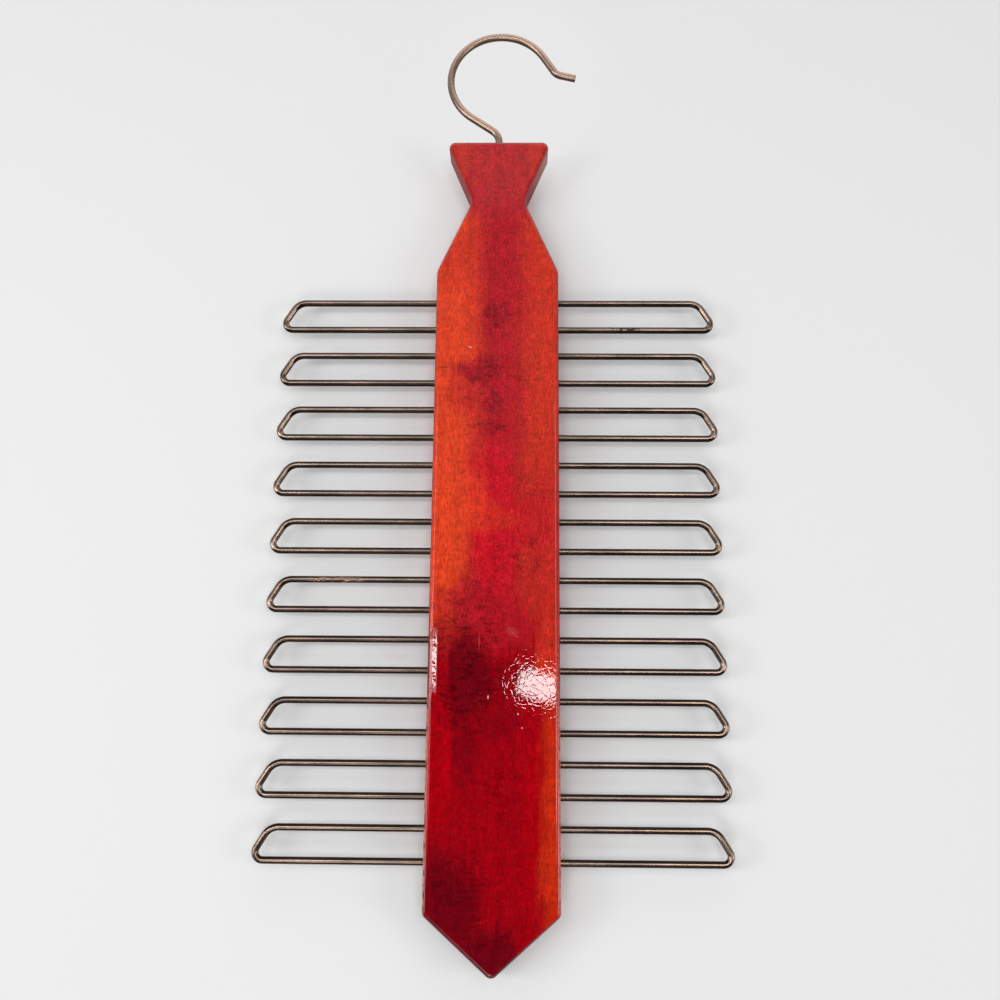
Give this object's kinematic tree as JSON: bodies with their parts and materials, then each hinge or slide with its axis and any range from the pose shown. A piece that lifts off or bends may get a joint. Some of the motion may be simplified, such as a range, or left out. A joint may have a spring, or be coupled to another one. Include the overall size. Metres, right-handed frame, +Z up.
{
  "type": "tie hanger",
  "caption": "Tie-shaped lacquered wooden hanger board with closed wire loops along both sides for neckties and a swivelling wire hook in its knot for a wardrobe rail.",
  "frame": {"origin": "seat of the hook: the underside of its crown, on the axis that the hook turns about", "axes": "+Z up along the hook's swivel axis as the hanger hangs, +X to the right seen from the front, front face of the board towards -Y and flat back towards +Y"},
  "size_m": [0.2152, 0.016, 0.4676],
  "materials": {
    "stained_wood": "red-brown mahogany stain under gloss lacquer",
    "bronzed_wire": "antique bronze plated steel wire, satin",
    "hook_wire": "copper bronze plated steel wire, satin",
    "pin_steel": "plain bright steel brad"
  },
  "bodies": {
    "board": {"tie_board": "stained_wood", "hook_retaining_pin": "pin_steel", "loop_left_01": "bronzed_wire", "loop_left_02": "bronzed_wire", "loop_left_03": "bronzed_wire", "loop_left_04": "bronzed_wire", "loop_left_05": "bronzed_wire", "loop_left_06": "bronzed_wire", "loop_left_07": "bronzed_wire", "loop_left_08": "bronzed_wire", "loop_left_09": "bronzed_wire", "loop_left_10": "bronzed_wire", "loop_right_01": "bronzed_wire", "loop_right_02": "bronzed_wire", "loop_right_03": "bronzed_wire", "loop_right_04": "bronzed_wire", "loop_right_05": "bronzed_wire", "loop_right_06": "bronzed_wire", "loop_right_07": "bronzed_wire", "loop_right_08": "bronzed_wire", "loop_right_09": "bronzed_wire", "loop_right_10": "bronzed_wire"},
    "hook": {"swivel_hook": "hook_wire"}
  },
  "joints": [
    {"name": "hook_swivel", "type": "hinge", "parent": "board", "child": "hook", "pos_m": [0, 0, -0.065], "axis": [0, 0, -1], "continuous": true}
  ]
}
